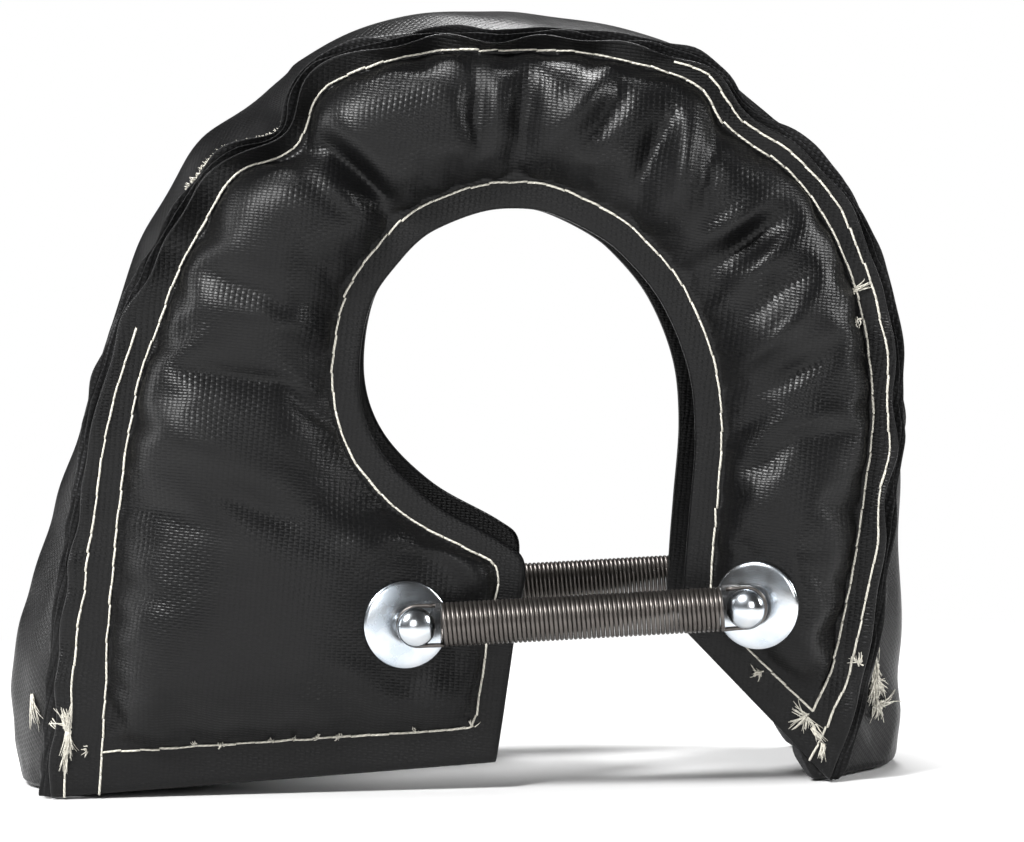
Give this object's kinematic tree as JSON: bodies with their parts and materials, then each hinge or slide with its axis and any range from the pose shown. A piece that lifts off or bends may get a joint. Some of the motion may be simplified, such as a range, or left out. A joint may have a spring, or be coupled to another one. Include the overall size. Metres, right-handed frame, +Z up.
{
  "type": "turbine housing heat blanket",
  "caption": "Horseshoe-shaped quilted heat blanket for a turbocharger's turbine housing: padded side panels round a large hole, a padded band between them, and springs across the mouth.",
  "frame": {"origin": "middle of the underside of the whole blanket, with the feet of both legs on Z = 0", "axes": "+X across the blanket to the right of the picture, +Y from the front panel to the rear panel, +Z up"},
  "size_m": [0.232, 0.1142, 0.1975],
  "materials": {
    "panel_cloth": "black coated glass-fibre cloth, plain weave, semi-gloss",
    "band_cloth": "black coated glass-fibre cloth, cut on the bias, semi-gloss with a grey sheen",
    "lining": "dark uncoated glass-fibre cloth, matt",
    "fill": "pale needled glass-fibre mat",
    "zinc": "bright zinc plate",
    "spring_steel": "dark oiled spring steel wire, close wound"
  },
  "bodies": {
    "root": {"front_cloth": "panel_cloth", "front_insulation": "fill", "front_lining": "lining", "front_left_anchor_pin": "zinc", "front_left_outer_washer": "zinc", "front_left_inner_washer": "zinc", "front_right_anchor_pin": "zinc", "front_right_outer_washer": "zinc", "front_right_inner_washer": "zinc", "front_spring": "spring_steel", "rear_cloth": "panel_cloth", "rear_insulation": "fill", "rear_lining": "lining", "rear_left_anchor_pin": "zinc", "rear_left_outer_washer": "zinc", "rear_left_inner_washer": "zinc", "rear_right_anchor_pin": "zinc", "rear_right_outer_washer": "zinc", "rear_right_inner_washer": "zinc", "rear_spring": "spring_steel", "band_cloth": "band_cloth", "band_insulation": "fill", "band_lining": "lining"}
  },
  "joints": []
}
